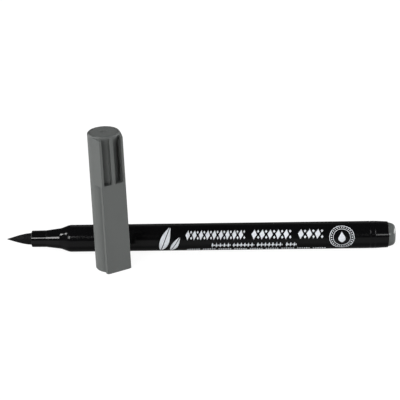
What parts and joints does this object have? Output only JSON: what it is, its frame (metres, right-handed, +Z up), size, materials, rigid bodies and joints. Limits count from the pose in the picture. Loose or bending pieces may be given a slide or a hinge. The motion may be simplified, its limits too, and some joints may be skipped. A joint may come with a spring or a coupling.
{
  "type": "calligraphy marker",
  "caption": "Round brush-tip calligraphy marker lying on its side, with its flat-fronted cap standing upright on its open end beside it.",
  "frame": {"origin": "middle of the bottom of the box round the pen and its standing cap, on the surface that both rest on", "axes": "+X along the pen from its brush tip to its tail, +Z up, -Y towards the side where the cap stands"},
  "size_m": [0.1424, 0.0246, 0.0516],
  "materials": {
    "black_plastic": "satin moulded black polypropylene",
    "gloss_black_plastic": "polished moulded black plastic",
    "grey_plastic": "satin moulded mid-grey polypropylene",
    "brush_felt": "ink-soaked felt",
    "ink_fibre": "ink-soaked bonded fibre",
    "film": "thin clear-white film",
    "inner_plastic": "natural translucent-white polypropylene",
    "print_white": "thin white pad-printed ink on the barrel"
  },
  "bodies": {
    "pen": {"barrel": "black_plastic", "front_section": "gloss_black_plastic", "tip_holder": "inner_plastic", "feed_core": "ink_fibre", "reservoir": "ink_fibre", "reservoir_wrap": "film", "tail_plug": "grey_plastic"},
    "tip": {"brush_tip": "brush_felt"},
    "cap": {"cap_shell": "grey_plastic", "inner_cap": "inner_plastic"}
  },
  "joints": [
    {"name": "tip_flex", "type": "hinge", "parent": "pen", "child": "tip", "pos_m": [-0.06135, 0.00726, 0.005], "axis": [0, 1, 0], "range_deg": [-20, 20], "stiffness_Nm_per_rad": 0.01},
    {"name": "cap_lift", "type": "slide", "parent": "pen", "child": "cap", "axis": [0, 0, 1], "range_m": [0, 0.06]}
  ]
}
